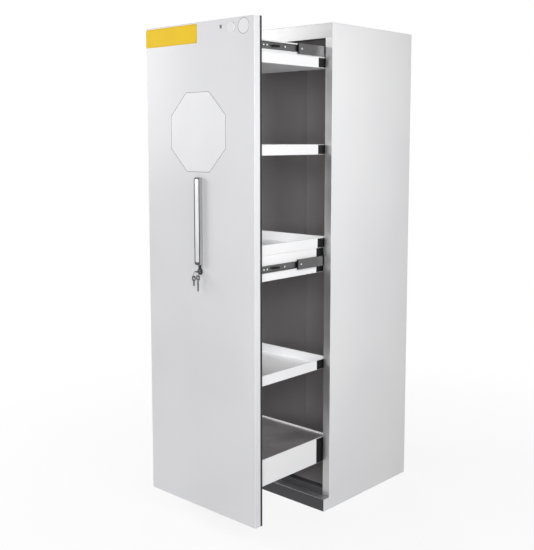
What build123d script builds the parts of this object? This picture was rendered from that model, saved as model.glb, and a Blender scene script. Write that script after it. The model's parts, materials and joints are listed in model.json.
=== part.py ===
"""Full-height pull-out storage cabinet: a fire-resistant carcass, and one drawer front that
carries five trays on telescopic slides. Millimetres. Origin on the floor, in the middle of the
carcass; +X to the right as seen from the front, +Y to the back, +Z up. The drawer stands open.
"""
import os
from math import cos, radians, sin, tan
from build123d import *

os.makedirs("parts", exist_ok=True)

# ---- Driving dimensions ----------------------------------------------------------------------
# Carcass
cabinet_width = 600
cabinet_height = 2000
carcass_depth = 560
sheet = 1.5               # steel sheet of the skins, trims, trays and beams
side_wall = 35            # outer face to inner face
rear_wall = 40
roof_wall = 58
lining = 5                # boards that line the inside
trim_return = 30          # how far the front trims fold into the opening
plinth_height = 52
plinth_reach = 36         # how far the plinth stands out in front of the carcass
sill_height = 31          # from the plinth's top to the inner floor
base_plate_thickness = 2
base_rail_width = 60
base_rail_wall = 3
strip_thickness = 2       # swelling fire strip round the opening
strip_width = 20
strip_setback = 6

# Levelling feet
foot_pad_diameter = 40
foot_pad_thickness = 8
foot_stud_diameter = 10
foot_nut_diameter = 17
foot_nut_thickness = 6
foot_inset_end = 60       # from the carcass front and rear to a foot's middle
pad_clearance = 3

# Air connections in the roof
spigot_outer_diameter = 75
spigot_wall = 2
spigot_height = 30
spigot_flange_width = 14
spigot_flange_thickness = 2
spigot_spacing = 200
spigot_to_rear = 80       # from the rear face to the spigots' middle
damper_clearance = 1.5
damper_thickness = 2
damper_shaft_diameter = 6
shaft_clearance = 0.05
damper_below_roof = 15

# Drawer front
open_distance = 410       # how far the drawer stands out of its closed place
front_width = 598
front_thickness = 35
front_bottom = 68
front_top_gap = 18        # from the front's top edge to the cabinet's top
front_gap = 5             # between the closed front and the carcass
front_fold = 2            # radius of the bends round the front's face
plug_depth = 44
plug_side_gap = 7         # plug to the opening, each side
plug_bottom_gap = 6
plug_top_gap = 6
seal_thickness = 4
seal_width = 16

# Carriage behind the front
tray_length = 410
tray_side_gap = 9         # tray to the carcass lining, each side
tray_height = 40
tray_hem = 4
top_tray_drop = 118       # from the opening's top to the highest tray's underside
tray_2_bottom = 1481
tray_3_bottom = 1103
tray_4_bottom = 597
sump_bottom = 197
sump_height = 106
sump_cover_drop = 6       # cover's top below the sump's rim
sump_cover_gap = 3
cover_hole_diameter = 6
cover_hole_spacing = 207
cover_hole_to_rear = 36
front_post_width = 40
front_post_thickness = 6
rear_post_width = 18
rear_post_depth = 30
rear_post_wall = 3
beam_recess = 15          # beam web to the carcass lining, which is the slide's thickness
beam_flange = 20
middle_beam_height = 101
top_beam_height = 45

# Telescopic slides
slide_length = 440
slide_front_inset = 46    # fixed member's front end behind the carcass front
fixed_member_height = 49
stage_member_height = 40
inner_member_height = 27
fixed_lip = 8.5
stage_setback = 2         # middle member's front end behind halfway
stage_web_setback = 4     # middle member's web in front of the fixed member's back
stage_lip_inner = 6.5
inner_lip = 7.5
middle_slide_drop = 54    # slide's middle under the third tray
top_slide_rise = 25       # slide's middle over the highest tray's rim
bumper_length = 10
bumper_play = 1
ball_count = 8
ball_pitch = 20
ball_gap = 0.1            # running clearance of a ball, each side
cage_thickness = 1
cage_width = 3

# Handle and lock on the drawer front
handle_offset = 7.5       # to the right of the front's middle
handle_bottom = 1056
handle_length = 340
handle_width = 30
handle_reach = 16
handle_corner = 10        # of the upper corners
handle_foot_corner = 4
handle_floor = 3          # what is left behind the lever's channel
handle_frame = 3
lever_side_gap = 2
lever_top_gap = 2
lever_finger_gap = 7
lever_thickness = 8
lever_proud = 1
lever_foot_corner = 2
lever_edge = 1.2
lever_pin_diameter = 4
lever_pin_below_top = 8
lock_below_handle = 27
lock_diameter = 27
lock_proud = 3
lock_body_diameter = 22
lock_body_length = 30
lock_plug_diameter = 14
lock_cam_length = 24
lock_cam_width = 12
lock_cam_thickness = 3
cam_space = 3
key_shank_length = 3
key_blade_length = 20
key_blade_width = 6
key_thickness = 2.2
key_bow_length = 20
key_bow_width = 18
key_hole_diameter = 11
key_bow_corner = 5
key_bridge = 3.5          # metal between the bow's hole and its end
ring_diameter = 30
ring_wire = 1.8
ring_play = 0.9
hanging_blade_lengths = {"outer": 16, "inner": 40}
hanging_key_angle = 50    # from the ring's lowest point, towards the front and the back
hanging_play = 0.3

# Small fittings on the drawer front
cap_diameter = 38
cap_thickness = 3
cap_edge = 1
cap_offset = 182
cap_from_top = 33         # cap's middle under the front's top edge
slot_width = 12
slot_height = 14
slot_depth = 4
slot_offset = 129
slot_from_top = 27
slot_frame = 2

# Fasteners
rivet_diameter = 6
rivet_head = 1.5
screw_diameter = 8
screw_head = 2
screw_inset = 40          # from the ends of the fixed member

cut = 1                   # how far a cut runs past the face it starts from

# ---- Places worked out from them -------------------------------------------------------------
half_width = cabinet_width / 2
front = -carcass_depth / 2
rear = carcass_depth / 2
skin_inner = half_width - sheet
opening_half = half_width - side_wall
plinth_front = front - plinth_reach
sill_top = plinth_height + sill_height
opening_top = cabinet_height - roof_wall
cavity_rear = rear - rear_wall
roof_under = cabinet_height - sheet

door_rear = front - front_gap - open_distance
door_front = door_rear - front_thickness
door_top = cabinet_height - front_top_gap
door_half = front_width / 2
plug_half = opening_half - plug_side_gap
plug_rear = door_rear + plug_depth
plug_bottom = sill_top + plug_bottom_gap
plug_top = opening_top - plug_top_gap

post_rear = plug_rear + front_post_thickness
tray_front = post_rear
tray_rear = tray_front + tray_length
tray_half = opening_half - tray_side_gap
tray_bottoms = [opening_top - top_tray_drop, tray_2_bottom, tray_3_bottom, tray_4_bottom]
top_beam_bottom = tray_bottoms[0] + tray_height
top_slide_height = top_beam_bottom + top_slide_rise
middle_slide_height = tray_3_bottom - middle_slide_drop
sump_top = sump_bottom + sump_height
beam_half = opening_half - beam_recess
spigot_y = rear - spigot_to_rear
damper_level = roof_under - damper_below_roof

handle_face = door_front - handle_reach
lever_half = handle_width / 2 - handle_frame - lever_side_gap
handle_top = handle_bottom + handle_length
lever_top = handle_top - handle_frame - lever_top_gap
lever_bottom = handle_bottom + handle_frame + lever_finger_gap
lever_face = handle_face - lever_proud
lever_pin_level = lever_top - lever_pin_below_top
lever_pin_y = lever_face + lever_thickness / 2
lock_height = handle_bottom - lock_below_handle
lock_face = door_front - lock_proud
cam_rear = door_front + lock_body_length - cam_space
cam_front = cam_rear - lock_cam_thickness
cap_height = door_top - cap_from_top
slot_level = door_top - slot_from_top


# ---- Small helpers ---------------------------------------------------------------------------
def span(x, y, z):
    """A box from its low and high limits along X, Y and Z."""
    size = [high - low for low, high in (x, y, z)]
    middle = [(high + low) / 2 for low, high in (x, y, z)]
    return Pos(*middle) * Box(*size)


def rod(centre, axis, radius, length):
    """A cylinder about the given middle, along X, Y or Z."""
    turn = {"X": Rot(0, 90, 0), "Y": Rot(90, 0, 0), "Z": Rot(0, 0, 0)}[axis]
    return Pos(*centre) * turn * Cylinder(radius, length)


def mirror_x(shape):
    return mirror(shape, about=Plane.YZ)


def save(name, *solids):
    """One node: its solids stay separate in the file."""
    parts = []
    for item in solids:
        parts += item.solids()
    shape = parts[0] if len(parts) == 1 else Compound(children=parts)
    shape.label = name
    export_step(shape, f"parts/{name}.step")


def save_pair(name, right):
    """A node on each side of the cabinet, from the right-hand one."""
    save(name + "_right", right)
    save(name + "_left", mirror_x(right))


# ---- Base ------------------------------------------------------------------------------------
foot_x = opening_half + lining - base_rail_width / 2
foot_places = [(side * foot_x, y) for side in (-1, 1)
               for y in (front + foot_inset_end, rear - foot_inset_end)]


def make_base():
    plate = span((-skin_inner, skin_inner), (front, rear - sheet), (0, base_plate_thickness))
    for x, y in foot_places:
        plate -= rod((x, y, 0), "Z", foot_pad_diameter / 2 + pad_clearance, plinth_height)
    save("base_plate", plate)

    rail_top = plinth_height - base_plate_thickness
    rails = []
    for side in (-1, 1):
        x = (side * foot_x - base_rail_width / 2, side * foot_x + base_rail_width / 2)
        y = (front + sheet, rear - sheet)
        rail = span(x, y, (base_plate_thickness, rail_top))
        rail -= span((x[0] + base_rail_wall, x[1] - base_rail_wall), y, (0, rail_top - base_rail_wall))
        for foot_at_x, foot_at_y in foot_places:
            rail -= rod((foot_at_x, foot_at_y, rail_top), "Z", foot_stud_diameter / 2, 4 * base_rail_wall)
        rails.append(rail)
    save("base_rails", *rails)

    feet = []
    nut_top = rail_top - base_rail_wall
    for x, y in foot_places:
        foot = rod((x, y, foot_pad_thickness / 2), "Z", foot_pad_diameter / 2, foot_pad_thickness)
        foot += rod((x, y, rail_top / 2), "Z", foot_stud_diameter / 2, rail_top)
        nut = Pos(x, y, nut_top - foot_nut_thickness) * extrude(
            RegularPolygon(foot_nut_diameter / 2, 6), foot_nut_thickness)
        feet.append(foot + nut)
    save("levelling_feet", *feet)

    fascia = span((-skin_inner, skin_inner), (plinth_front, plinth_front + sheet), (0, plinth_height - sheet))
    fascia += span((-skin_inner, skin_inner), (plinth_front, front), (0, base_plate_thickness))
    save("plinth_fascia", fascia)
    save("plinth_ledge", span((-half_width, half_width), (plinth_front, front),
                              (plinth_height - sheet, plinth_height)))


# ---- Carcass ---------------------------------------------------------------------------------
lining_outer = opening_half + lining
lining_front = front + trim_return


def make_skins():
    side = span((skin_inner, half_width), (front, rear), (0, roof_under))
    toe = span((skin_inner, half_width), (plinth_front, front), (0, plinth_height - sheet))
    save_pair("side_sheet", side + toe)
    save("rear_sheet", span((-skin_inner, skin_inner), (rear - sheet, rear), (0, roof_under)))
    roof = span((-half_width, half_width), (front, rear), (roof_under, cabinet_height))
    for x in (-spigot_spacing / 2, spigot_spacing / 2):
        roof -= rod((x, spigot_y, roof_under), "Z", spigot_outer_diameter / 2, roof_wall)
    save("top_sheet", roof)


def make_insulation():
    behind_trim = front + sheet
    side = span((lining_outer, skin_inner), (behind_trim, rear - sheet), (base_plate_thickness, roof_under))
    back = span((-lining_outer, lining_outer), (cavity_rear + lining, rear - sheet),
                (plinth_height, roof_under))
    save("wall_insulation", side, mirror_x(side), back)

    roof_board = span((-lining_outer, lining_outer), (behind_trim, cavity_rear + lining),
                      (opening_top + lining, roof_under))
    for x in (-spigot_spacing / 2, spigot_spacing / 2):
        roof_board -= rod((x, spigot_y, roof_under), "Z", spigot_outer_diameter / 2, 4 * roof_wall)
    save("roof_insulation", roof_board)
    save("floor_insulation", span((-opening_half, opening_half), (behind_trim, cavity_rear + lining),
                                  (plinth_height - base_plate_thickness, sill_top - lining)))


def make_linings():
    height = (sill_top, opening_top)
    side = span((opening_half, lining_outer), (lining_front, cavity_rear), height)
    save("lining_sides", side, mirror_x(side))
    save("lining_rear", span((-lining_outer, lining_outer), (cavity_rear, cavity_rear + lining), height))
    ceiling = span((-lining_outer, lining_outer), (lining_front, cavity_rear + lining),
                   (opening_top, opening_top + lining))
    for x in (-spigot_spacing / 2, spigot_spacing / 2):
        ceiling -= rod((x, spigot_y, opening_top), "Z", spigot_outer_diameter / 2, roof_wall)
    save("lining_ceiling", ceiling)
    save("lining_floor", span((-lining_outer, lining_outer), (lining_front, cavity_rear + lining),
                              (sill_top - lining, sill_top)))


def make_trims():
    """Folded metal round the opening: a flat face in front and a return along the inside."""
    face = (front, front + sheet)
    fold = (front, lining_front)
    jamb = span((opening_half, skin_inner), face, (plinth_height, opening_top))
    jamb += span((opening_half, opening_half + sheet), fold, (plinth_height, opening_top))
    save_pair("jamb_trim", jamb)
    rail = span((-skin_inner, skin_inner), face, (opening_top, roof_under))
    rail += span((-opening_half, opening_half), fold, (opening_top, opening_top + sheet))
    save("top_rail_trim", rail)
    sill = span((-opening_half, opening_half), face, (plinth_height, sill_top))
    sill += span((-opening_half, opening_half), fold, (sill_top - sheet, sill_top))
    save("sill_trim", sill)

    y = (front + strip_setback, front + strip_setback + strip_width)
    upright = span((opening_half - strip_thickness, opening_half), y,
                   (sill_top, opening_top - strip_thickness))
    head = span((-opening_half, opening_half), y, (opening_top - strip_thickness, opening_top))
    save("fire_strips", upright, mirror_x(upright), head)


def make_air_connections():
    radius = spigot_outer_diameter / 2
    bore = radius - spigot_wall
    top = cabinet_height + spigot_height
    for name, x in (("exhaust", -spigot_spacing / 2), ("intake", spigot_spacing / 2)):
        middle = (x, spigot_y, (opening_top + top) / 2)
        duct = rod(middle, "Z", radius, top - opening_top)
        duct += rod((x, spigot_y, cabinet_height + spigot_flange_thickness / 2), "Z",
                    radius + spigot_flange_width, spigot_flange_thickness)
        duct -= rod(middle, "Z", bore, cabinet_height)
        duct -= rod((x, spigot_y, damper_level), "X", damper_shaft_diameter / 2 + shaft_clearance,
                    2 * spigot_outer_diameter)
        save(name + "_spigot", duct)
        flap = rod((x, spigot_y, damper_level), "Y", bore - damper_clearance, damper_thickness)
        flap += rod((x, spigot_y, damper_level), "X", damper_shaft_diameter / 2, bore + radius)
        save(name + "_damper", flap)


# ---- Drawer front ----------------------------------------------------------------------------
def make_front():
    outer = span((-door_half, door_half), (door_front, door_rear), (front_bottom, door_top))
    outer = fillet(outer.faces().sort_by(Axis.Y)[0].edges(), front_fold)
    hollow = span((-door_half + sheet, door_half - sheet), (door_front + sheet, door_rear),
                  (front_bottom + sheet, door_top - sheet))
    shell = outer - hollow
    lock_bore = lock_rod(lock_body_diameter / 2, door_front - cut, door_front + sheet + cut)
    slot_bore = span((slot_offset - slot_width / 2, slot_offset + slot_width / 2),
                     (door_front - cut, door_front + sheet + slot_depth),
                     (slot_level - slot_height / 2, slot_level + slot_height / 2))
    save("front_shell", shell - lock_bore - slot_bore)

    cam_room = lock_rod(lock_cam_length + cam_space, cam_front - cam_space, cam_rear + cam_space)
    lock_room = lock_rod(lock_body_diameter / 2, door_front, cam_front)
    core = span((-door_half + sheet, door_half - sheet), (door_front + sheet, door_rear - sheet),
                (front_bottom + sheet, door_top - sheet))
    save("front_core", core - lock_room - cam_room - slot_bore)
    back = span((-door_half + sheet, door_half - sheet), (door_rear - sheet, door_rear),
                (front_bottom + sheet, door_top - sheet))
    save("front_back_plate", back)

    plug = span((-plug_half, plug_half), (door_rear, plug_rear), (plug_bottom, plug_top))
    save("front_plug", plug)

    seal_outer = plug_half + seal_width
    seal = span((-seal_outer, seal_outer), (door_rear, door_rear + seal_thickness),
                (plug_bottom - seal_width, plug_top + seal_width))
    seal -= span((-plug_half, plug_half), (door_rear - cut, plug_rear), (plug_bottom, plug_top))
    save("front_seal", seal)


# ---- Trays and carriage ----------------------------------------------------------------------
def tray(bottom, height):
    """A folded pan with a narrow hem turned in along its rim."""
    x = (-tray_half, tray_half)
    y = (tray_front, tray_rear)
    pan = span(x, y, (bottom, bottom + height))
    pan -= span((x[0] + sheet, x[1] - sheet), (y[0] + sheet, y[1] - sheet),
                (bottom + sheet, bottom + height - sheet))
    pan -= span((x[0] + tray_hem, x[1] - tray_hem), (y[0] + tray_hem, y[1] - tray_hem),
                (bottom + sheet, bottom + height))
    return pan


def channel_beam(low, high, foot_outwards):
    """A C-shaped beam on the right; its flanges turn inwards, or the lower one outwards."""
    y = (tray_front, tray_rear)
    web = span((beam_half - sheet, beam_half), y, (low, high))
    top = span((beam_half - beam_flange, beam_half), y, (high - sheet, high))
    if foot_outwards:
        foot = span((beam_half - sheet, tray_half), y, (low, low + sheet))
    else:
        foot = span((beam_half - beam_flange, beam_half), y, (low, low + sheet))
    return web + top + foot


def make_carriage():
    for number, bottom in enumerate(tray_bottoms, start=1):
        save(f"tray_{number}", tray(bottom, tray_height))
    save("sump_tray", tray(sump_bottom, sump_height))

    cover_top = sump_top - sump_cover_drop
    inset = sheet + sump_cover_gap
    cover = span((-tray_half + inset, tray_half - inset), (tray_front + inset, tray_rear - inset),
                 (cover_top - sheet, cover_top))
    lip = span((-tray_half + inset, tray_half - inset), (tray_rear - inset - sheet, tray_rear - inset),
               (sump_bottom + sheet, cover_top))
    cover += lip
    cover += Pos(0, tray_front - tray_rear + 2 * inset + sheet, 0) * lip
    for x in (-cover_hole_spacing / 2, cover_hole_spacing / 2):
        cover -= rod((x, tray_rear - cover_hole_to_rear, cover_top), "Z", cover_hole_diameter / 2, 4 * sheet)
    save("sump_cover", cover)

    post = span((plug_half - front_post_width, plug_half), (plug_rear, post_rear), (sump_bottom, plug_top))
    save("front_posts", post, mirror_x(post))

    rear_outer = beam_half - sheet
    height = (sump_bottom, top_beam_bottom + top_beam_height)
    upright = span((rear_outer - rear_post_width, rear_outer),
                   (tray_rear, tray_rear + rear_post_wall), height)
    upright += span((rear_outer - rear_post_wall, rear_outer),
                    (tray_rear, tray_rear + rear_post_depth), height)
    save("rear_posts", upright, mirror_x(upright))

    middle = channel_beam(tray_3_bottom - middle_beam_height, tray_3_bottom, foot_outwards=False)
    save("middle_beams", middle, mirror_x(middle))
    top = channel_beam(top_beam_bottom, top_beam_bottom + top_beam_height, foot_outwards=True)
    save("top_beams", top, mirror_x(top))

    rivets = []
    head_y = tray_front + sheet
    for bottom, height in [(b, tray_height) for b in tray_bottoms] + [(sump_bottom, sump_height)]:
        for side in (-1, 1):
            x = side * (plug_half - front_post_width / 2)
            rivets.append(rod((x, head_y + rivet_head / 2, bottom + height / 2), "Y",
                              rivet_diameter / 2, rivet_head))
    save("tray_rivets", *rivets)


# ---- Telescopic slides -----------------------------------------------------------------------
def channel(web_x, lip_x, half_height, y):
    """A web in a YZ plane with a lip along its top and bottom edges."""
    section = span(web_x, y, (-half_height, half_height))
    for side in (-1, 1):
        edge = sorted((side * half_height, side * (half_height - sheet)))
        section += span(lip_x, y, edge)
    return section


def ball_row(x, y_middle, z, ball_diameter):
    """A cage strip with its balls."""
    length = ball_pitch * ball_count
    row = span((x - cage_width / 2, x + cage_width / 2), (y_middle - length / 2, y_middle + length / 2),
               (z - cage_thickness / 2, z + cage_thickness / 2))
    for index in range(ball_count):
        y = y_middle + (index - (ball_count - 1) / 2) * ball_pitch
        row += Pos(x, y, z) * Sphere(ball_diameter / 2)
    return row


def at_each_slide(shapes):
    """The shapes of one right-hand slide, at both levels and on both sides."""
    placed = []
    for height in (middle_slide_height, top_slide_height):
        for shape in shapes:
            right = Pos(0, 0, height) * shape
            placed += [right, mirror_x(right)]
    return placed


def make_slides():
    closed_front = front + slide_front_inset
    fixed_y = (closed_front, closed_front + slide_length)
    inner_y = (tray_front, tray_front + slide_length)
    stage_front = (closed_front + tray_front) / 2 + stage_setback
    stage_y = (stage_front, stage_front + slide_length)

    fixed_web = (opening_half - sheet, opening_half)
    fixed = channel(fixed_web, (opening_half - fixed_lip, opening_half), fixed_member_height / 2, fixed_y)
    stage_web = (opening_half - stage_web_setback - sheet, opening_half - stage_web_setback)
    stage_lip = (stage_web[0] - stage_lip_inner, stage_web[1])
    stage = channel(stage_web, stage_lip, stage_member_height / 2, stage_y)
    bumper = span((stage_lip[0], stage_web[0]), (stage_y[0], stage_y[0] + bumper_length),
                  (inner_member_height / 2 + bumper_play, stage_member_height / 2 - sheet))
    stage += bumper + mirror(bumper, about=Plane.XY)
    inner_web = (beam_half, beam_half + sheet)
    inner = channel(inner_web, (beam_half, beam_half + inner_lip), inner_member_height / 2, inner_y)

    outer_gap = (fixed_member_height / 2 - sheet) - stage_member_height / 2
    inner_gap = (stage_member_height / 2 - sheet) - inner_member_height / 2
    outer_x = (opening_half - fixed_lip + stage_web[1]) / 2
    inner_x = (stage_lip[0] + beam_half + inner_lip) / 2
    outer_y = (fixed_y[0] + stage_y[1]) / 2
    inner_y_middle = (stage_y[0] + inner_y[1]) / 2
    outer_rows = []
    inner_rows = []
    for side in (-1, 1):
        outer_rows.append(ball_row(outer_x, outer_y, side * (stage_member_height / 2 + outer_gap / 2),
                                   outer_gap - 2 * ball_gap))
        inner_rows.append(ball_row(inner_x, inner_y_middle, side * (inner_member_height / 2 + inner_gap / 2),
                                   inner_gap - 2 * ball_gap))

    save("slide_fixed_members", *at_each_slide([fixed]))
    save("slide_inner_members", *at_each_slide([inner]))
    for level, height in (("middle", middle_slide_height), ("top", top_slide_height)):
        member = Pos(0, 0, height) * stage
        save(f"{level}_slide_stages", member, mirror_x(member))
    save("ball_cages_outer", *at_each_slide(outer_rows))
    save("ball_cages_inner", *at_each_slide(inner_rows))


# ---- Handle and lock -------------------------------------------------------------------------
def lock_rod(radius, y_low, y_high):
    """A cylinder on the lock's axis."""
    return rod((handle_offset, (y_low + y_high) / 2, lock_height), "Y", radius, y_high - y_low)


def arched(half, y, z, top_corner, foot_corner):
    """An upright block about the handle's middle, with its corners rounded as seen from the front."""
    block = span((handle_offset - half, handle_offset + half), y, z)
    block = fillet(block.edges().filter_by(Axis.Y).group_by(Axis.Z)[-1], top_corner)
    return fillet(block.edges().filter_by(Axis.Y).group_by(Axis.Z)[0], foot_corner)


def make_handle():
    body = arched(handle_width / 2, (handle_face, door_front), (handle_bottom, handle_top),
                  handle_corner, handle_foot_corner)
    recess_corner = handle_corner - handle_frame
    body -= arched(handle_width / 2 - handle_frame, (handle_face - cut, door_front - handle_floor),
                   (handle_bottom + handle_frame, handle_top - handle_frame),
                   recess_corner, handle_foot_corner - handle_frame)
    body -= rod((handle_offset, lever_pin_y, lever_pin_level), "X", lever_pin_diameter / 2,
                handle_width - handle_frame)
    save("handle_body", body)

    lever = arched(lever_half, (lever_face, lever_face + lever_thickness), (lever_bottom, lever_top),
                   recess_corner - lever_side_gap, lever_foot_corner)
    lever = fillet(lever.faces().sort_by(Axis.Y)[0].edges(), lever_edge)
    lever -= rod((handle_offset, lever_pin_y, lever_pin_level), "X",
                 lever_pin_diameter / 2 + shaft_clearance, 2 * handle_width)
    save("handle_lever", lever)
    save("lever_pin", rod((handle_offset, lever_pin_y, lever_pin_level), "X", lever_pin_diameter / 2,
                          handle_width - handle_frame))


def key_profile(blade_length):
    """A flat key about its shank line: bow towards -Y, blade towards +Y, in the XY plane."""
    bow_low = -key_shank_length - key_bow_length
    bow = span((-key_bow_width / 2, key_bow_width / 2), (bow_low, -key_shank_length),
               (-key_thickness / 2, key_thickness / 2))
    bow = fillet(bow.edges().filter_by(Axis.Z), key_bow_corner)
    hole_y = bow_low + key_bridge + key_hole_diameter / 2
    bow -= rod((0, hole_y, 0), "Z", key_hole_diameter / 2, 4 * key_thickness)
    blade = span((-key_blade_width / 2, key_blade_width / 2), (-key_shank_length, blade_length),
                 (-key_thickness / 2, key_thickness / 2))
    return bow + blade


def make_lock():
    plug_radius = lock_plug_diameter / 2
    body = lock_rod(lock_diameter / 2, lock_face, door_front)
    body += lock_rod(lock_body_diameter / 2, door_front, cam_front - cam_space)
    body -= lock_rod(plug_radius + shaft_clearance, lock_face - cut, cam_front)
    save("lock_body", body)

    barrel = lock_rod(plug_radius, lock_face, cam_front)
    keyway = Pos(handle_offset, lock_face, lock_height) * span(
        (-key_blade_width / 2, key_blade_width / 2), (-cut, key_blade_length),
        (-key_thickness / 2, key_thickness / 2))
    save("lock_barrel", barrel - keyway)
    cam = span((handle_offset - lock_cam_width / 2, handle_offset + lock_cam_width / 2),
               (cam_front, cam_rear),
               (lock_height - lock_cam_width / 2, lock_height + lock_cam_length - lock_cam_width / 2))
    save("lock_cam", cam)

    key = Pos(handle_offset, lock_face, lock_height) * key_profile(key_blade_length)
    save("lock_key", key)

    bridge_y = lock_face - key_shank_length - key_bow_length + key_bridge / 2
    ring_radius = (ring_diameter - ring_wire) / 2
    ring_z = lock_height + key_thickness / 2 + ring_play - (ring_radius - ring_wire / 2)
    ring = Pos(handle_offset, bridge_y, ring_z) * Rot(0, 90, 0) * Torus(ring_radius, ring_wire / 2)
    save("key_ring", ring)

    hole_to_origin = key_shank_length + key_bow_length - key_bridge - key_hole_diameter / 2
    slant = radians(hanging_key_angle)
    wire_rise = ring_wire / 2 / cos(slant) + key_thickness / 2 * tan(slant)
    contact = key_hole_diameter / 2 - wire_rise - hanging_play
    for name, side in (("outer", -1), ("inner", 1)):
        place_y = bridge_y + side * ring_radius * sin(slant)
        place_z = ring_z - ring_radius * cos(slant) - contact
        spare = key_profile(hanging_blade_lengths[name])
        save(f"spare_key_{name}", Pos(handle_offset, place_y, place_z) * Rot(-90, 0, 0)
             * Pos(0, hole_to_origin, 0) * spare)


def make_small_fittings():
    cap = rod((cap_offset, door_front - cap_thickness / 2, cap_height), "Y", cap_diameter / 2, cap_thickness)
    cap = fillet(cap.edges().sort_by(Axis.Y)[0], cap_edge)
    save("round_cap", cap)
    outer = span((slot_offset - slot_width / 2, slot_offset + slot_width / 2),
                 (door_front, door_front + sheet + slot_depth),
                 (slot_level - slot_height / 2, slot_level + slot_height / 2))
    inner = span((slot_offset - slot_width / 2 + slot_frame, slot_offset + slot_width / 2 - slot_frame),
                 (door_front - cut, door_front + slot_depth),
                 (slot_level - slot_height / 2 + slot_frame, slot_level + slot_height / 2 - slot_frame))
    save("slot_insert", outer - inner)

    screws = []
    for side in (-1, 1):
        for height in (middle_slide_height, top_slide_height):
            for y in (front + slide_front_inset + screw_inset,
                      front + slide_front_inset + slide_length - screw_inset):
                screws.append(rod((side * (opening_half - sheet - screw_head / 2), y, height), "X",
                                  screw_diameter / 2, screw_head))
    save("slide_screws", *screws)


make_base()
make_skins()
make_insulation()
make_linings()
make_trims()
make_air_connections()
make_front()
make_carriage()
make_slides()
make_handle()
make_lock()
make_small_fittings()
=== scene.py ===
import json
import math

import bmesh
import bpy
from mathutils import Matrix, Vector


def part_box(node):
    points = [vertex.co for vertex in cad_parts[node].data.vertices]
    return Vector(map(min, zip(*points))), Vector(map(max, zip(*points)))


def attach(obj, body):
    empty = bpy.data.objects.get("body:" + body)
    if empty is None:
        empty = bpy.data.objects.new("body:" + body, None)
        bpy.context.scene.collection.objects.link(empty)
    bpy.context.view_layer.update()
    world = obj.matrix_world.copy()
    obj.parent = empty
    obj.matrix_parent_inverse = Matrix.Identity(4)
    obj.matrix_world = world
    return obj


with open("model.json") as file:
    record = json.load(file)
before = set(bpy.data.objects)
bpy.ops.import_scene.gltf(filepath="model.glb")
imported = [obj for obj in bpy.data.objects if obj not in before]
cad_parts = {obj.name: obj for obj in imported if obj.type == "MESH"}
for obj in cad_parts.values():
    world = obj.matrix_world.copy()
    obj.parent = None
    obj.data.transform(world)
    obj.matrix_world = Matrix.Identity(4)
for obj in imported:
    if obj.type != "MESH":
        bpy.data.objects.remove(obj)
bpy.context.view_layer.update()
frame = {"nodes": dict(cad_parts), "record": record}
scene = bpy.context.scene
mm = 0.001
print("frame loaded:", len(frame["nodes"]), "nodes")


# Places that several pieces share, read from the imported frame.
doorLow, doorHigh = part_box("front_shell")
doorFace = doorLow[1]


# Camera: a compromise near the photograph's own. The small shift keeps the uprights nearly parallel and still
# leaves room for views from other sides.
cameraView = {
    "place": (2.45367, -3.00796, 1.53925),
    "turn": 42.574,        # degrees to the left of straight ahead
    "tilt": 6.425,         # degrees down
    "roll": -0.030,
    "lens": 56.430,
    "sensor": 36.0,
    "shiftY": -38 / 550,   # 38 pixels of a picture 550 high
    "nearest": 0.01,
    "farthest": 60,
}


def addCamera(view):
    turn, tilt, roll = (math.radians(view[key]) for key in ("turn", "tilt", "roll"))
    right = Vector((math.cos(turn), math.sin(turn), 0))
    ahead = Vector((-math.sin(turn) * math.cos(tilt), math.cos(turn) * math.cos(tilt), -math.sin(tilt)))
    up = right.cross(ahead)
    rightRolled = right * math.cos(roll) + up * math.sin(roll)
    upRolled = up * math.cos(roll) - right * math.sin(roll)
    data = bpy.data.cameras.new("camera")
    data.lens = view["lens"]
    data.sensor_width = view["sensor"]
    data.sensor_fit = "AUTO"
    data.shift_y = view["shiftY"]
    data.clip_start = view["nearest"]
    data.clip_end = view["farthest"]
    camera = bpy.data.objects.new("camera", data)
    axes = Matrix((rightRolled, upRolled, -ahead)).transposed().to_4x4()
    camera.matrix_world = Matrix.Translation(view["place"]) @ axes
    scene.collection.objects.link(camera)
    scene.camera = camera


addCamera(cameraView)


# Colours are written as sRGB hex.
def hexColour(text):
    channels = [int(text[i:i + 2], 16) / 255 for i in (0, 2, 4)]
    linear = [c / 12.92 if c <= 0.04045 else ((c + 0.055) / 1.055) ** 2.4 for c in channels]
    return (*linear, 1.0)


def addNode(tree, kind, inputs=None, **settings):
    node = tree.nodes.new(kind)
    for key, value in settings.items():
        setattr(node, key, value)
    for key, value in (inputs or {}).items():
        if isinstance(value, bpy.types.NodeSocket):
            tree.links.new(value, node.inputs[key])
        else:
            node.inputs[key].default_value = value
    return node


def startMaterial(name, **surface):
    material = bpy.data.materials.new(name)
    material.use_nodes = True
    tree = material.node_tree
    shader = tree.nodes["Principled BSDF"]
    for key, value in surface.items():
        shader.inputs[key].default_value = value
    return material, tree, shader


def objectPoint(tree, stretch=(1, 1, 1)):
    place = addNode(tree, "ShaderNodeTexCoord")
    return addNode(tree, "ShaderNodeMapping", {"Vector": place.outputs["Object"], "Scale": stretch}).outputs[0]


def blendColours(tree, factor, low, high):
    mix = addNode(tree, "ShaderNodeMix", {0: factor, 6: low, 7: high}, data_type="RGBA")
    return mix.outputs[2]


def spread(tree, value, low, high, outLow=0.0, outHigh=1.0):
    inputs = {"Value": value, "From Min": low, "From Max": high, "To Min": outLow, "To Max": outHigh}
    return addNode(tree, "ShaderNodeMapRange", inputs).outputs[0]


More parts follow.
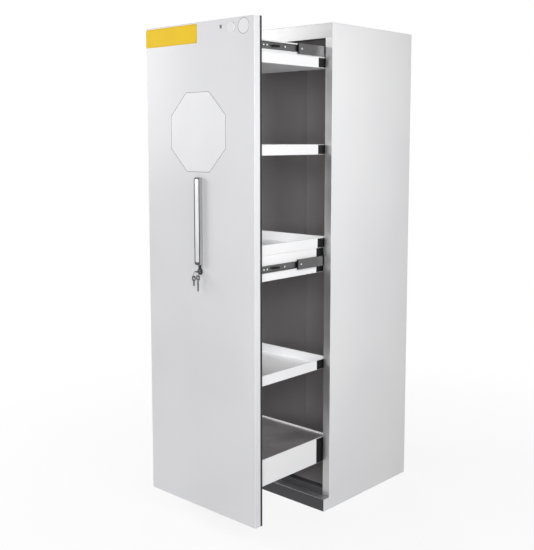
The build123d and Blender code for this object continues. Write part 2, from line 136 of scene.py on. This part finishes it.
# Polyester powder coat, sprayed and baked on sheet steel: an even soft gloss over a fine orange peel.
def makePowderCoat(name, colour, shade, roughness):
    material, tree, shader = startMaterial(name, Roughness=roughness)
    point = objectPoint(tree)
    peel = addNode(tree, "ShaderNodeTexNoise", {"Vector": point, "Scale": 1 / (2.5 * mm), "Detail": 2.0})
    cloud = addNode(tree, "ShaderNodeTexNoise", {"Vector": point, "Scale": 1 / (420 * mm), "Detail": 1.0})
    tint = blendColours(tree, spread(tree, cloud.outputs[0], 0.35, 0.65), hexColour(colour), hexColour(shade))
    bump = addNode(tree, "ShaderNodeBump", {"Height": peel.outputs[0], "Strength": 0.05, "Distance": 0.2 * mm})
    gloss = spread(tree, peel.outputs[0], 0.3, 0.7, roughness - 0.03, roughness + 0.04)
    tree.links.new(tint, shader.inputs["Base Color"])
    tree.links.new(gloss, shader.inputs["Roughness"])
    tree.links.new(bump.outputs[0], shader.inputs["Normal"])
    return material


# Stainless sheet brushed on a belt: long fine scratches along one axis draw the light out across it.
def makeBrushedSteel(name, colour, shade, roughness, grain):
    material, tree, shader = startMaterial(name, Metallic=1.0, Roughness=roughness)
    fine, long = 1 / (0.9 * mm), 1 / (160 * mm)      # scratch width, drawn coarser than real so that it shows
    stretch = [long if axis == grain else fine for axis in "XYZ"]
    scratch = addNode(tree, "ShaderNodeTexNoise",
                      {"Vector": objectPoint(tree, stretch), "Scale": 1.0, "Detail": 3.0})
    cloud = addNode(tree, "ShaderNodeTexNoise",
                    {"Vector": objectPoint(tree), "Scale": 1 / (180 * mm), "Detail": 2.0})
    line = spread(tree, scratch.outputs[0], 0.3, 0.7)
    tint = blendColours(tree, line, hexColour(colour), hexColour(shade))
    gloss = spread(tree, cloud.outputs[0], 0.3, 0.7, roughness - 0.05, roughness + 0.07)
    bump = addNode(tree, "ShaderNodeBump", {"Height": line, "Strength": 0.12, "Distance": 0.05 * mm})
    tree.links.new(tint, shader.inputs["Base Color"])
    tree.links.new(gloss, shader.inputs["Roughness"])
    tree.links.new(bump.outputs[0], shader.inputs["Normal"])
    return material


# Zinc plate on rolled or pressed steel: dull silver with a faint cloudy spangle.
def makeZinc(name, colour, shade, roughness):
    material, tree, shader = startMaterial(name, Metallic=1.0, Roughness=roughness)
    point = objectPoint(tree)
    spangle = addNode(tree, "ShaderNodeTexVoronoi", {"Vector": point, "Scale": 1 / (5 * mm)})
    cloud = addNode(tree, "ShaderNodeTexNoise", {"Vector": point, "Scale": 1 / (35 * mm), "Detail": 3.0})
    patch = spread(tree, spangle.outputs["Color"], 0.0, 1.0, 0.25, 0.75)
    tint = blendColours(tree, patch, hexColour(colour), hexColour(shade))
    gloss = spread(tree, cloud.outputs[0], 0.3, 0.7, roughness - 0.06, roughness + 0.1)
    tree.links.new(tint, shader.inputs["Base Color"])
    tree.links.new(gloss, shader.inputs["Roughness"])
    return material


# Moulded nylon or ABS: an even colour under a fine spark-eroded grain.
def makeMoulded(name, colour, shade, roughness, grain=0.8, **surface):
    material, tree, shader = startMaterial(name, Roughness=roughness, **surface)
    point = objectPoint(tree)
    texture = addNode(tree, "ShaderNodeTexNoise", {"Vector": point, "Scale": 1 / (grain * mm), "Detail": 2.0})
    cloud = addNode(tree, "ShaderNodeTexNoise", {"Vector": point, "Scale": 1 / (140 * mm), "Detail": 1.0})
    tint = blendColours(tree, spread(tree, cloud.outputs[0], 0.3, 0.7), hexColour(colour), hexColour(shade))
    gloss = spread(tree, texture.outputs[0], 0.3, 0.7, roughness - 0.05, roughness + 0.08)
    bump = addNode(tree, "ShaderNodeBump", {"Height": texture.outputs[0], "Strength": 0.15, "Distance": 0.05 * mm})
    tree.links.new(tint, shader.inputs["Base Color"])
    tree.links.new(gloss, shader.inputs["Roughness"])
    tree.links.new(bump.outputs[0], shader.inputs["Normal"])
    return material


# Pressed mineral and melamine boards: matt, with a flecked grain.
def makeBoard(name, colour, shade, roughness, fleck):
    material, tree, shader = startMaterial(name, Roughness=roughness)
    point = objectPoint(tree)
    grain = addNode(tree, "ShaderNodeTexNoise", {"Vector": point, "Scale": 1 / (fleck * mm), "Detail": 4.0})
    cloud = addNode(tree, "ShaderNodeTexNoise", {"Vector": point, "Scale": 1 / (260 * mm), "Detail": 2.0})
    both = addNode(tree, "ShaderNodeMath", {0: grain.outputs[0], 1: cloud.outputs[0]}, operation="ADD")
    tint = blendColours(tree, spread(tree, both.outputs[0], 0.7, 1.3), hexColour(colour), hexColour(shade))
    bump = addNode(tree, "ShaderNodeBump", {"Height": grain.outputs[0], "Strength": 0.1, "Distance": 0.1 * mm})
    tree.links.new(tint, shader.inputs["Base Color"])
    tree.links.new(bump.outputs[0], shader.inputs["Normal"])
    return material


materials = {
    "white_enamel": makePowderCoat("whitePowderCoat", "ebebec", "e6e6e8", 0.38),
    "front_enamel": makePowderCoat("doorPowderCoat", "dfdfe2", "dadadd", 0.36),
    "plinth_enamel": makePowderCoat("anthracitePowderCoat", "3f3f42", "38383b", 0.5),
    "trim_steel": makeBrushedSteel("brushedStainlessUpright", "cdcdcd", "bebebe", 0.38, "Z"),
    "cover_steel": makeBrushedSteel("satinStainlessCover", "d6d3d5", "c4c1c3", 0.42, "X"),
    "slide_steel": makeZinc("zincPlatedRolledSteel", "707071", "626263", 0.36),
    "zinc_steel": makeZinc("zincPlatedSteel", "b4b5b6", "9fa1a3", 0.38),
    "lining_board": makeBoard("greyMelamineBoard", "a19e9f", "989596", 0.62, 1.6),
    "insulation_board": makeBoard("mineralFireBoard", "d6d2c4", "c4bfae", 0.85, 3.0),
    "plug_board": makeBoard("blackEdgedBoard", "1d1d1e", "161617", 0.55, 1.2),
    "fire_strip": makeMoulded("graphiteFireStrip", "2a2a2b", "212122", 0.7, 1.5),
    "seal_rubber": makeMoulded("blackSealRubber", "0c0c0d", "080809", 0.7, 1.0),
    "handle_plastic": makeMoulded("greyNylonHandle", "98999c", "919295", 0.36),
    "lever_metal": makeBrushedSteel("anodisedAluminiumLever", "cdcdcf", "c0c0c2", 0.42, "Z"),
    "lock_black": makeMoulded("blackLockCasting", "0b0b0c", "070708", 0.42),
    "key_metal": makeZinc("nickelPlatedKey", "767677", "58585a", 0.26),
    "cap_plastic": makeMoulded("whiteMouldedCap", "ececee", "e4e4e7", 0.3),
}
slotOf = {row["node"]: row["material_slot"] for row in frame["record"]["subparts"]}
# The top rail takes a darker copy of the uprights' brushed stainless, grained across: painted shade that holds its
# brightness down.
shadedRailSteelAcross = makeBrushedSteel("brushedStainlessAcrossPaintedShade", "b4b4b4", "a6a6a6", 0.42, "X")
# The plinth ledge takes a lighter copy of the brushed stainless: painted light.
paintedLightLedgeSteel = makeBrushedSteel("brushedStainlessLedgePaintedLight", "e6e6e6", "d8d8d8", 0.38, "X")
# The trays and the middle beams take a lighter copy of the white coat: painted light on surfaces that sit in the
# cabinet's shade.
paintedLightTrayEnamel = makePowderCoat("paintedLightTrayPowderCoat", "f4f4f5", "f0f0f1", 0.38)
ownFinish = {"top_rail_trim": shadedRailSteelAcross, "plinth_ledge": paintedLightLedgeSteel,
             "sill_trim": materials["plinth_enamel"]}
ownFinish.update(dict.fromkeys(("tray_1", "tray_2", "tray_3", "tray_4", "sump_tray", "middle_beams"), paintedLightTrayEnamel))


def dress(thing, material):
    thing.data.materials.clear()
    thing.data.materials.append(material)


for name, node in frame["nodes"].items():
    dress(node, ownFinish.get(name, materials[slotOf[name]]))
print("materials on", len(frame["nodes"]), "nodes")


# Folded sheet has rounded bends: the fold radius goes on as a modifier.
fold = {"weld": 0.005 * mm, "segments": 2, "sharpest": 50}
foldRadius = {
    "side_sheet_left": 1.5, "side_sheet_right": 1.5, "top_sheet": 0.7, "rear_sheet": 0.7,
    "tray_1": 0.7, "tray_2": 0.7, "tray_3": 0.7, "tray_4": 0.7, "sump_tray": 0.7, "top_beams": 0.7,
    "middle_beams": 0.7, "handle_body": 1.2, "plinth_fascia": 0.7, "plinth_ledge": 0.6, "front_posts": 0.8,
}
for name, radius in foldRadius.items():
    node = frame["nodes"][name]
    weld = node.modifiers.new("joinEdges", "WELD")
    weld.merge_threshold = fold["weld"]
    bend = node.modifiers.new("foldRadius", "BEVEL")
    bend.width = radius * mm
    bend.segments = fold["segments"]
    bend.limit_method = "ANGLE"
    bend.angle_limit = math.radians(fold["sharpest"])
    even = node.modifiers.new("evenShading", "WEIGHTED_NORMAL")
    even.keep_sharp = True


def addPiece(name, mesh, material, body):
    piece = bpy.data.objects.new(name, mesh)
    scene.collection.objects.link(piece)
    if not mesh.materials:
        mesh.materials.append(material)
    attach(piece, body)


def meshFrom(shape, name):
    mesh = bpy.data.meshes.new(name)
    shape.to_mesh(mesh)
    shape.free()
    return mesh


# A flat plate on the drawer front: its outline in X and Z, a soft edge, and a rim printed round it.
def plateMesh(name, outline, thickness, edge, rim):
    shape = bmesh.new()
    front = [shape.verts.new((x, doorFace - thickness, z)) for x, z in outline]
    face = shape.faces.new(front)
    back = bmesh.ops.extrude_face_region(shape, geom=[face])
    for vert in (item for item in back["geom"] if isinstance(item, bmesh.types.BMVert)):
        vert.co.y = doorFace
    bmesh.ops.recalc_face_normals(shape, faces=shape.faces)
    faceNow = min(shape.faces, key=lambda item: item.calc_center_median().y)
    outer = list(faceNow.edges)
    bmesh.ops.bevel(shape, geom=outer, offset=edge, segments=2, affect="EDGES")
    faceNow = min(shape.faces, key=lambda item: item.calc_center_median().y)
    bmesh.ops.inset_region(shape, faces=[faceNow], thickness=rim["inset"])
    faceNow = min(shape.faces, key=lambda item: (item.calc_center_median().y, -item.calc_area()))
    ring = bmesh.ops.inset_region(shape, faces=[faceNow], thickness=rim["width"])
    for item in ring["faces"]:
        item.material_index = 1
    return meshFrom(shape, name)


def roundedBox(low, high, radius, cornerSteps=6):
    corners = ((high[0] - radius, high[1] - radius, 0), (low[0] + radius, high[1] - radius, 90),
               (low[0] + radius, low[1] + radius, 180), (high[0] - radius, low[1] + radius, 270))
    points = []
    for x, z, start in corners:
        for step in range(cornerSteps + 1):
            angle = math.radians(start + 90 * step / cornerSteps)
            points.append((x + radius * math.cos(angle), z + radius * math.sin(angle)))
    return points


def regularOutline(centre, radius, sides, turn=0.0):
    angles = [math.radians(turn + 360 * i / sides) for i in range(sides)]
    return [(centre[0] + radius * math.cos(a), centre[1] + radius * math.sin(a)) for a in angles]


# Three plain plates on the drawer front, placed in X and Z.
plateEdge = 0.3 * mm
namePlate = {"low": (-0.299, 1.905), "high": (0.0, 1.977), "corner": 3 * mm, "thickness": 0.8 * mm,
             "colour": "f8cf0a", "shade": "f4ca06", "rim": {"inset": 1.5 * mm, "width": 1.0 * mm}}
octagonPlate = {"centre": (0.0, 1.569), "acrossFlats": 0.312, "thickness": 0.8 * mm, "colour": "e8e8ea",
                "shade": "e5e5e7", "rim": {"inset": 2.5 * mm, "width": 2.2 * mm}}
roundPlate = {"centre": (0.247, 1.949), "diameter": 0.060, "sides": 48, "thickness": 0.8 * mm,
              "rim": {"inset": 1.0 * mm, "width": 1.6 * mm}}

# Printed vinyl is matt beside the enamel, so it keeps its colour under the lamps.
mattVinyl = {"Specular IOR Level": 0.2}
yellowPrint = makeMoulded("yellowPrintedVinyl", namePlate["colour"], namePlate["shade"], 0.6, 1.2, **mattVinyl)
whitePrint = makeMoulded("whiteEnamelPlate", octagonPlate["colour"], octagonPlate["shade"], 0.34, 1.2)
rimPrint = makeMoulded("greyPrintedRim", "5f5f61", "5a5a5c", 0.4, 1.2)
yellowRim = makeMoulded("ochrePrintedRim", "d39c08", "cd9708", 0.6, 1.2, **mattVinyl)


def addPlate(name, outline, thickness, rim, face, edge):
    mesh = plateMesh(name, outline, thickness, plateEdge, rim)
    mesh.materials.append(face)
    mesh.materials.append(edge)
    addPiece(name, mesh, face, "carriage")


octagonTurn = 180 / 8      # half a side, so that flats lie at the top and the sides
octagonRadius = octagonPlate["acrossFlats"] / 2 / math.cos(math.radians(octagonTurn))
addPlate("namePlate", roundedBox(namePlate["low"], namePlate["high"], namePlate["corner"]),
         namePlate["thickness"], namePlate["rim"], yellowPrint, yellowRim)
addPlate("octagonPlate", regularOutline(octagonPlate["centre"], octagonRadius, 8, octagonTurn),
         octagonPlate["thickness"], octagonPlate["rim"], whitePrint, rimPrint)
addPlate("roundPlate", regularOutline(roundPlate["centre"], roundPlate["diameter"] / 2, roundPlate["sides"]),
         roundPlate["thickness"], roundPlate["rim"], whitePrint, rimPrint)
print("plates done")


# Small mouldings: each a box with softened edges, all those on one body in one mesh.
def softBoxes(name, boxes, edge):
    shape = bmesh.new()
    for low, high in boxes:
        made = bmesh.ops.create_cube(shape, size=1)["verts"]
        for vert in made:
            vert.co = Vector([low[i] + (vert.co[i] + 0.5) * (high[i] - low[i]) for i in range(3)])
        edges = list({side for vert in made for side in vert.link_edges})
        bmesh.ops.bevel(shape, geom=edges, offset=edge, segments=2, affect="EDGES")
    return meshFrom(shape, name)


# A flat ring between two outlines of the same count, laid upright on the front or level on the roof.
def ringMesh(name, outer, inner, near, far, upright=True):
    shape = bmesh.new()
    rows = []
    for outline, depth in ((outer, near), (outer, far), (inner, far), (inner, near)):
        rows.append([shape.verts.new((a, depth, b) if upright else (a, b, depth)) for a, b in outline])
    for row, following in zip(rows, rows[1:] + rows[:1]):
        for i in range(len(row)):
            shape.faces.new((row[i - 1], row[i], following[i], following[i - 1]))
    bmesh.ops.recalc_face_normals(shape, faces=shape.faces)
    return meshFrom(shape, name)


blackRubber = materials["seal_rubber"]
# A dead black that paints shade: it colours the pads at the tray ends and the slots on the slides.
paintedShadeBlack = makeMoulded("paintedShadeBlack", "0a0a0b", "060607", 0.6, **{"Specular IOR Level": 0.25})

# Black pads stand on the tray ends, where the jamb's shadow falls on the tray sides: their black is painted
# shadow.
jambShadowPad = {"nodes": ("tray_1", "tray_2", "tray_3", "tray_4", "sump_tray", "middle_beams"),
            "thickness": 2.2 * mm, "front": -0.313, "rear": -0.268, "margin": 1.5 * mm, "edge": 0.5 * mm}


def addJambShadowPads(pad):
    boxes = []
    for node in pad["nodes"]:
        low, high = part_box(node)
        z = (low[2] + pad["margin"], high[2] - pad["margin"])
        outer = high[0] + pad["thickness"]
        boxes.append(((high[0], pad["front"], z[0]), (outer, pad["rear"], z[1])))
        boxes.append(((-outer, pad["front"], z[0]), (-high[0], pad["rear"], z[1])))
    addPiece("jambShadowPads", softBoxes("jambShadowPads", boxes, pad["edge"]), paintedShadeBlack, "carriage")


addJambShadowPads(jambShadowPad)


# A rubber bumper caps the front end of each slide's middle member.
bumper = {"length": 2.2 * mm, "proud": 0.5 * mm, "depth": 5 * mm, "height": 38 * mm, "edge": 0.5 * mm}


def addBumpers(node, body, levels, values):
    low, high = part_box(node)
    outer = high[0] + values["proud"]
    boxes = []
    for level in levels:
        z = (level - values["height"] / 2, level + values["height"] / 2)
        y = (low[1] - values["length"], low[1])
        boxes.append(((outer - values["depth"], y[0], z[0]), (outer, y[1], z[1])))
        boxes.append(((-outer, y[0], z[0]), (values["depth"] - outer, y[1], z[1])))
    addPiece(body + "Bumpers", softBoxes(body + "Bumpers", boxes, values["edge"]), blackRubber, body)


def middleLevel(node):
    low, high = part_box(node)
    return (low[2] + high[2]) / 2


slideLevels = [middleLevel(node) for node in ("middle_slide_stages", "top_slide_stages")]
addBumpers("middle_slide_stages", "middle_stages", slideLevels[:1], bumper)
addBumpers("top_slide_stages", "top_stages", slideLevels[1:], bumper)
print("pads and bumpers done")


# The handle: a thin black ring round its face, and a short black foot down to the lock, whose black is painted
# shade.
handleTrim = {"corner": 9 * mm, "innerCorner": 6 * mm, "width": 3 * mm, "proud": 0.4 * mm,
              "inset": 0.3 * mm, "footHalf": 6 * mm, "footProud": 6 * mm, "footOverlap": 1 * mm, "edge": 1 * mm}


def addHandleTrim(values):
    low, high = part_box("handle_body")
    inset, width, overlap = values["inset"], values["width"], values["footOverlap"]
    outer = roundedBox((low[0] + inset, low[2] + inset), (high[0] - inset, high[2] - inset), values["corner"])
    inner = roundedBox((low[0] + width, low[2] + width), (high[0] - width, high[2] - width), values["innerCorner"])
    mesh = ringMesh("handleBlackRing", outer, inner, low[1] - values["proud"], low[1] + values["proud"])
    addPiece("handleBlackRing", mesh, blackRubber, "carriage")
    centre = (low[0] + high[0]) / 2
    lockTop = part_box("lock_body")[1][2]
    # The foot's black is painted shade, where shade falls between the handle's end and the lock.
    foot = ((centre - values["footHalf"], doorFace - values["footProud"], lockTop - overlap),
            (centre + values["footHalf"], doorFace, low[2] + overlap))
    addPiece("handleFootShade", softBoxes("handleFootShade", [foot], values["edge"]), materials["lock_black"], "carriage")


addHandleTrim(handleTrim)


# A black rubber lip runs round the back edge of the drawer front.
edgeLip = {"proud": 1 * mm, "overlap": 5 * mm, "width": 7 * mm, "depth": 4 * mm, "corner": 2 * mm}
proud, width = edgeLip["proud"], edgeLip["width"]
lipOuter = roundedBox((doorLow[0] - proud, doorLow[2] - proud), (doorHigh[0] + proud, doorHigh[2] + proud),
                      edgeLip["corner"])
lipInner = roundedBox((doorLow[0] + width, doorLow[2] + width), (doorHigh[0] - width, doorHigh[2] - width),
                      edgeLip["corner"])
addPiece("edgeLip", ringMesh("edgeLip", lipOuter, lipInner, doorHigh[1] - edgeLip["overlap"],
                             doorHigh[1] + edgeLip["depth"]), blackRubber, "carriage")


# Rubber collars seal the two air spigots to the roof.
collar = {"width": 7 * mm, "height": 4 * mm, "sides": 48}
for node in ("exhaust_spigot", "intake_spigot"):
    spigotLow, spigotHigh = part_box(node)
    centre = [(spigotLow[i] + spigotHigh[i]) / 2 for i in (0, 1)]
    radius = (spigotHigh[0] - spigotLow[0]) / 2
    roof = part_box("top_sheet")[1][2]
    mesh = ringMesh(node + "Collar", regularOutline(centre, radius + collar["width"], collar["sides"]),
                    regularOutline(centre, radius, collar["sides"]), roof, roof + collar["height"], upright=False)
    addPiece(node + "Collar", mesh, blackRubber, "carcass")
print("trim and seals done")


# Geometry Nodes: one fastener or slot on each point, turned by the point's own facing and along vectors.
def startTree(name, inputs):
    tree = bpy.data.node_groups.new(name, "GeometryNodeTree")
    tree.interface.new_socket("Geometry", in_out="INPUT", socket_type="NodeSocketGeometry")
    tree.interface.new_socket("Geometry", in_out="OUTPUT", socket_type="NodeSocketGeometry")
    sockets = {}
    for label, kind in inputs.items():
        sockets[label] = tree.interface.new_socket(label, in_out="INPUT", socket_type=kind).identifier
    return tree, sockets, addNode(tree, "NodeGroupInput")


def endTree(tree, source, shape):
    facing, along = (addNode(tree, "GeometryNodeInputNamedAttribute", {"Name": label}, data_type="FLOAT_VECTOR")
                     for label in ("facing", "along"))
    turn = addNode(tree, "FunctionNodeAxesToRotation", {0: facing.outputs[0], 1: along.outputs[0]},
                   primary_axis="Z", secondary_axis="X")
    placed = addNode(tree, "GeometryNodeInstanceOnPoints",
                     {"Points": source.outputs["Geometry"], "Instance": shape, "Rotation": turn.outputs[0]})
    real = addNode(tree, "GeometryNodeRealizeInstances", {"Geometry": placed.outputs[0]})
    dressed = addNode(tree, "GeometryNodeSetMaterial",
                      {"Geometry": real.outputs[0], "Material": source.outputs["Material"]})
    addNode(tree, "NodeGroupOutput", {"Geometry": dressed.outputs[0]})


def buildFastenerTree():
    tree, sockets, source = startTree("domedFasteners", {
        "Radius": "NodeSocketFloat", "Height": "NodeSocketFloat", "Socket radius": "NodeSocketFloat",
        "Material": "NodeSocketMaterial"})
    radius, height, hole = (source.outputs[label] for label in ("Radius", "Height", "Socket radius"))
    ball = addNode(tree, "GeometryNodeMeshUVSphere", {"Segments": 16, "Rings": 8, "Radius": radius})
    flat = addNode(tree, "ShaderNodeMath", {0: height, 1: radius}, operation="DIVIDE")
    squash = addNode(tree, "ShaderNodeCombineXYZ", {"X": 1.0, "Y": 1.0, "Z": flat.outputs[0]})
    dome = addNode(tree, "GeometryNodeTransform", {"Geometry": ball.outputs["Mesh"], "Scale": squash.outputs[0]})
    drill = addNode(tree, "GeometryNodeMeshCylinder", {"Vertices": 6, "Radius": hole, "Depth": height})
    lift = addNode(tree, "ShaderNodeCombineXYZ", {"Z": height})
    raised = addNode(tree, "GeometryNodeTransform",
                     {"Geometry": drill.outputs["Mesh"], "Translation": lift.outputs[0]})
    cut = addNode(tree, "GeometryNodeMeshBoolean", {"Mesh 1": dome.outputs[0], "Mesh 2": raised.outputs[0]},
                  operation="DIFFERENCE")
    endTree(tree, source, cut.outputs["Mesh"])
    return tree, sockets


def buildSlotTree():
    tree, sockets, source = startTree("oblongSlots", {
        "Length": "NodeSocketFloat", "Width": "NodeSocketFloat", "Thickness": "NodeSocketFloat",
        "Material": "NodeSocketMaterial"})
    # Just under half the width, so that the two fillets of an end stay apart.
    half = addNode(tree, "ShaderNodeMath", {0: source.outputs["Width"], 1: 0.499}, operation="MULTIPLY")
    box = addNode(tree, "GeometryNodeCurvePrimitiveQuadrilateral",
                  {"Width": source.outputs["Length"], "Height": source.outputs["Width"]})
    rounded = addNode(tree, "GeometryNodeFilletCurve", {"Curve": box.outputs[0], "Radius": half.outputs[0]})
    fill = addNode(tree, "GeometryNodeFillCurve", {"Curve": rounded.outputs[0]})
    thick = addNode(tree, "GeometryNodeExtrudeMesh",
                    {"Mesh": fill.outputs[0], "Offset Scale": source.outputs["Thickness"]})
    endTree(tree, source, thick.outputs["Mesh"])
    return tree, sockets


def growPiece(name, kit, points, values, material, body):
    tree, sockets = kit
    seed = bpy.data.meshes.new(name)
    seed.from_pydata([place for place, facing, along in points], [], [])
    for label, column in (("facing", 1), ("along", 2)):
        attribute = seed.attributes.new(label, "FLOAT_VECTOR", "POINT")
        attribute.data.foreach_set("vector", [c for point in points for c in point[column]])
    holder = bpy.data.objects.new(name + "Seed", seed)
    scene.collection.objects.link(holder)
    grow = holder.modifiers.new("grow", "NODES")
    grow.node_group = tree
    for label, value in dict(values, Material=material).items():
        grow[sockets[label]] = value
    mesh = bpy.data.meshes.new_from_object(holder.evaluated_get(bpy.context.evaluated_depsgraph_get()))
    holder.modifiers.remove(grow)
    bpy.data.objects.remove(holder)
    mesh.name = name
    addPiece(name, mesh, material, body)


fasteners = buildFastenerTree()
slots = buildSlotTree()
brightScrew = makeZinc("brightZincScrew", "f2f2f2", "e4e4e4", 0.3)

# Each telescopic slide shows screws and oblong slots along its outer faces; the slots are thin black patches,
# painted shade in their hollows.
slideDetail = {"screw": {"Radius": 3.4 * mm, "Height": 1.1 * mm, "Socket radius": 1.4 * mm},
               "slot": {"Length": 46 * mm, "Width": 9 * mm, "Thickness": 0.25 * mm},
               "innerScrews": (-0.634, -0.616, -0.515), "innerSlots": (-0.565,),
               "stageScrews": (-0.420, -0.250, -0.120), "stageSlots": (-0.2,)}


def bothSides(node, marks, levels):
    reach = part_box(node)[1][0]
    return [((side * reach, y, z), (side, 0, 0), (0, 1, 0)) for z in levels for y in marks for side in (-1, 1)]


def addSlideDetail(values):
    rows = (("inner", "slide_inner_members", "carriage", slideLevels),
            ("stage", "middle_slide_stages", "middle_stages", slideLevels[:1]),
            ("stage", "top_slide_stages", "top_stages", slideLevels[1:]))
    for kind, node, body, levels in rows:
        growPiece(body + "SlideScrews", fasteners, bothSides(node, values[kind + "Screws"], levels),
                  values["screw"], brightScrew, body)
        growPiece(body + "SlideSlotShade", slots, bothSides(node, values[kind + "Slots"], levels),
                  values["slot"], paintedShadeBlack, body)


addSlideDetail(slideDetail)


# Small rivets hold the yellow plate and the rear sheet.
plateRivets = {"inset": 4.5 * mm, "values": {"Radius": 1.8 * mm, "Height": 0.8 * mm, "Socket radius": 0.7 * mm}}
rearRivets = {"insetX": 16 * mm, "insetZ": 60 * mm, "rows": 10, "columns": 3,
              "values": {"Radius": 3.0 * mm, "Height": 1.2 * mm, "Socket radius": 0.9 * mm}}


def steps(low, high, count):
    return [low + (high - low) * i / (count - 1) for i in range(count)]


def addSmallFasteners():
    low, high, inset = namePlate["low"], namePlate["high"], plateRivets["inset"]
    y = doorFace - namePlate["thickness"]
    points = [((x, y, z), (0, -1, 0), (1, 0, 0)) for x in (low[0] + inset, high[0] - inset)
              for z in (low[1] + inset, high[1] - inset)]
    growPiece("plateRivets", fasteners, points, plateRivets["values"], materials["zinc_steel"], "carriage")

    low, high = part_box("rear_sheet")
    xs = steps(low[0] + rearRivets["insetX"], high[0] - rearRivets["insetX"], rearRivets["columns"])
    zs = steps(low[2] + rearRivets["insetZ"], high[2] - rearRivets["insetZ"], rearRivets["rows"])
    onRim = [(x, z) for x in xs for z in zs if x in (xs[0], xs[-1]) or z in (zs[0], zs[-1])]
    points = [((x, high[1], z), (0, 1, 0), (1, 0, 0)) for x, z in onRim]
    growPiece("rearRivets", fasteners, points, rearRivets["values"], materials["zinc_steel"], "carcass")


addSmallFasteners()
print("slide details and fasteners done")


# Plain pale floor and soft studio light. The floor shows as white to the camera and keeps a faint shadow.
studio = {
    "floorSize": 14.0,
    "floorColour": "e8e8e8",
    "floorRoughness": 0.9,
    "nearWhite": 0.86,     # share of the floor that shows as white backdrop, beside the cabinet and far off
    "farWhite": 1.0,
    "nearReach": 0.5,
    "farReach": 2.2,
    "worldLight": 0.12,    # strength where it lights surfaces; reflections and the camera see full white
    "lamps": {
        "frontLeft": {"place": (-3.6, -2.3, 2.2), "aim": (-0.1, -0.7, 1.2), "size": 1.6, "power": 96},
        "cameraSide": {"place": (2.7, -3.3, 1.7), "aim": (0.0, -0.3, 1.1), "size": 1.2, "power": 70},
        "rightSide": {"place": (2.1, -0.9, 2.0), "aim": (0.0, -0.4, 1.0), "size": 0.8, "power": 23},
        "rearFill": {"place": (-2.6, 2.6, 2.4), "aim": (-0.1, 0.1, 1.0), "size": 1.4, "power": 55},
    },
}


def addStage(values):
    half = values["floorSize"] / 2
    mesh = bpy.data.meshes.new("floor")
    mesh.from_pydata([(-half, -half, 0), (half, -half, 0), (half, half, 0), (-half, half, 0)], [], [(0, 1, 2, 3)])
    floor = bpy.data.objects.new("floor", mesh)
    scene.collection.objects.link(floor)
    material, tree, shader = startMaterial("paleFloor", Roughness=values["floorRoughness"])
    shader.inputs["Base Color"].default_value = hexColour(values["floorColour"])
    rays = addNode(tree, "ShaderNodeLightPath")
    seen = addNode(tree, "ShaderNodeMath", {0: rays.outputs["Is Camera Ray"], 1: rays.outputs["Is Glossy Ray"]},
                   operation="MAXIMUM")
    place = addNode(tree, "ShaderNodeTexCoord")
    away = addNode(tree, "ShaderNodeVectorMath", {0: place.outputs["Object"]}, operation="LENGTH")
    whiteness = spread(tree, away.outputs["Value"], values["nearReach"], values["farReach"],
                       values["nearWhite"], values["farWhite"])
    share = addNode(tree, "ShaderNodeMath", {0: seen.outputs[0], 1: whiteness}, operation="MULTIPLY")
    white = addNode(tree, "ShaderNodeEmission", {"Color": (1, 1, 1, 1), "Strength": 1.0})
    mix = addNode(tree, "ShaderNodeMixShader", {0: share.outputs[0], 1: shader.outputs[0], 2: white.outputs[0]})
    tree.links.new(mix.outputs[0], tree.nodes["Material Output"].inputs["Surface"])
    dress(floor, material)

    world = bpy.data.worlds.new("studio")
    scene.world = world
    world.use_nodes = True
    tree = world.node_tree
    rays = addNode(tree, "ShaderNodeLightPath")
    seen = addNode(tree, "ShaderNodeMath", {0: rays.outputs["Is Camera Ray"], 1: rays.outputs["Is Glossy Ray"]},
                   operation="MAXIMUM")
    seen = addNode(tree, "ShaderNodeMath", {0: seen.outputs[0], 1: rays.outputs["Is Transmission Ray"]},
                   operation="MAXIMUM")
    strength = spread(tree, seen.outputs[0], 0.0, 1.0, values["worldLight"], 1.0)
    back = tree.nodes["Background"]
    back.inputs["Color"].default_value = (1, 1, 1, 1)
    tree.links.new(strength, back.inputs["Strength"])

    for name, lamp in values["lamps"].items():
        light = bpy.data.lights.new(name, "AREA")
        light.shape = "SQUARE"
        light.size = lamp["size"]
        light.energy = lamp["power"]
        holder = bpy.data.objects.new(name, light)
        aim = Vector(lamp["aim"]) - Vector(lamp["place"])
        holder.matrix_world = Matrix.Translation(lamp["place"]) @ aim.to_track_quat("-Z", "Y").to_matrix().to_4x4()
        scene.collection.objects.link(holder)


addStage(studio)
scene.view_settings.view_transform = "Standard"
print("stage done")
